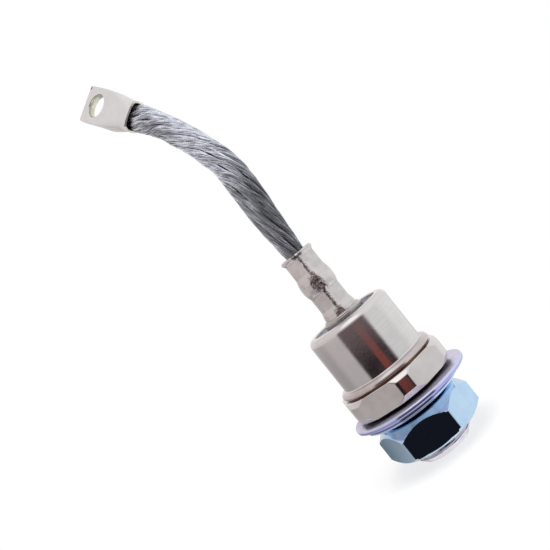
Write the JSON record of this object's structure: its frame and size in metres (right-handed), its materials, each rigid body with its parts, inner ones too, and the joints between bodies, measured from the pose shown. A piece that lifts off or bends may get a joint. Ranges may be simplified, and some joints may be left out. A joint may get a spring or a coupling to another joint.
{
  "type": "stud diode",
  "caption": "Stud-mount rectifier diode: hexagonal base with a threaded stud, washers and nut, welded can with a glass seal, crimped terminal tube and a stranded lead with a lug.",
  "frame": {"origin": "centre of the seat plane under the hexagon, which the device is clamped against", "axes": "+Z along the stud's axis towards the lead, with the stud pointing along -Z and -Y towards the viewer"},
  "size_m": [0.0473, 0.0642, 0.1597],
  "materials": {
    "nickel_base": "satin nickel plate",
    "bare_steel": "bare",
    "nickel_can": "satin nickel plate",
    "seal_glass": "fused dark blue glass, opaque",
    "nickel_collar": "bright nickel plate",
    "nickel_tube": "satin nickel plate, crimped",
    "molybdenum": "ground",
    "silicon": "lapped",
    "copper": "bare copper",
    "tinned_strand": "tinned fine wire",
    "tinned_lug": "matt tin plate",
    "zinc_washer": "bright zinc plate",
    "zinc_spring": "zinc plate",
    "zinc_nut": "blue zinc plate"
  },
  "bodies": {
    "root": {"stud_base": "nickel_base", "weld_ring": "bare_steel", "can": "nickel_can", "glass_seal": "seal_glass", "seal_sleeve": "nickel_collar", "terminal_tube": "nickel_tube", "lower_plate": "molybdenum", "silicon_wafer": "silicon", "upper_plate": "molybdenum", "contact_cup": "copper", "inner_rope": "copper", "lead_rope": "tinned_strand", "terminal_lug": "tinned_lug", "flat_washer": "zinc_washer", "spring_washer": "zinc_spring", "hex_nut": "zinc_nut"}
  },
  "joints": []
}
